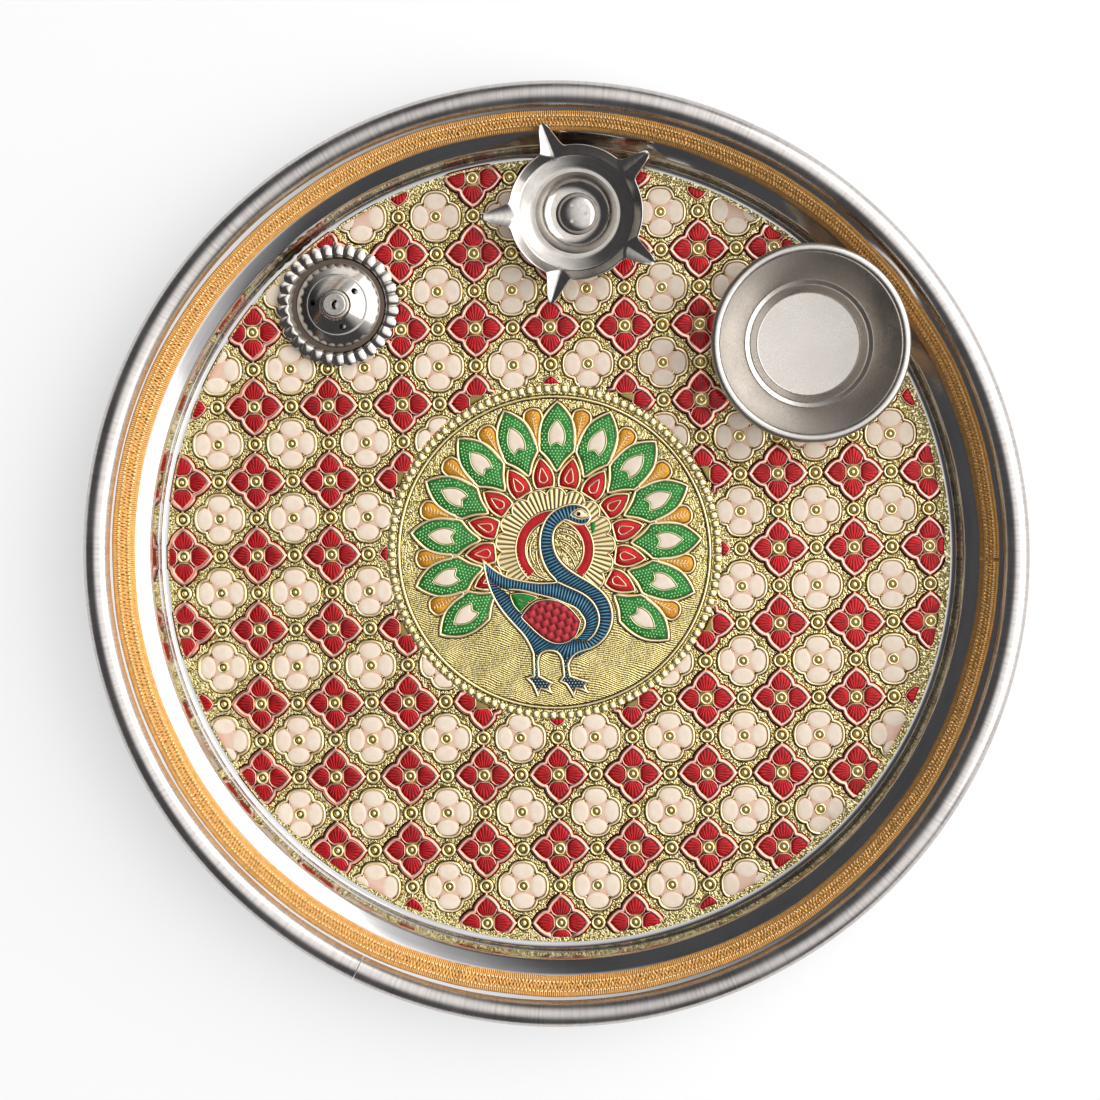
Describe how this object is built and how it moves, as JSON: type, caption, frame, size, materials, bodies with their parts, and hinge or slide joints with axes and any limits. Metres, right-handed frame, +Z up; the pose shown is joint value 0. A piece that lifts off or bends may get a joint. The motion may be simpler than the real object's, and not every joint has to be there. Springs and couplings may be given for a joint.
{
  "type": "puja thali",
  "caption": "Round steel prayer tray with a rolled rim, gold lace band and enamelled peacock floor, carrying a lamp, an incense stand and a small bowl that lift off.",
  "frame": {"origin": "middle of the dish's underside, on the table", "axes": "+Z up; +Y towards the lamp's side of the tray, which is the top of the picture; +X to the picture's right"},
  "size_m": [0.273, 0.273, 0.0223],
  "materials": {
    "dish_steel": "polished",
    "rim_steel": "brushed across",
    "gold_lace": "woven metallic thread",
    "gilt": "embossed, stippled",
    "red_enamel": "glossy",
    "cream_enamel": "glossy",
    "green_enamel": "glossy",
    "amber_enamel": "glossy",
    "blue_enamel": "glossy",
    "lamp_steel": "polished",
    "stand_steel": "polished",
    "bowl_steel": "polished"
  },
  "bodies": {
    "tray": {"thali_dish": "dish_steel", "rim_ring": "rim_steel", "gold_lace_band": "gold_lace", "gilt_sheet": "gilt", "red_flower_enamel": "red_enamel", "cream_flower_enamel": "cream_enamel", "green_feather_enamel": "green_enamel", "feather_eye_enamel": "cream_enamel", "inner_feather_enamel": "red_enamel", "amber_drop_enamel": "amber_enamel", "peacock_blue_enamel": "blue_enamel", "wing_enamel": "red_enamel", "peacock_green_enamel": "green_enamel", "collar_enamel": "red_enamel"},
    "lamp": {"lamp_bowl": "lamp_steel", "lamp_foot": "lamp_steel", "lamp_welds": "lamp_steel"},
    "incense_stand": {"incense_saucer": "stand_steel", "incense_dome": "stand_steel", "incense_nozzle": "stand_steel"},
    "bowl": {"small_bowl": "bowl_steel"}
  },
  "joints": [
    {"name": "lamp_lift", "type": "slide", "parent": "tray", "child": "lamp", "axis": [0, 0, 1], "range_m": [0, 0.06]},
    {"name": "incense_stand_lift", "type": "slide", "parent": "tray", "child": "incense_stand", "axis": [0, 0, 1], "range_m": [0, 0.06]},
    {"name": "bowl_lift", "type": "slide", "parent": "tray", "child": "bowl", "axis": [0, 0, 1], "range_m": [0, 0.06]}
  ]
}
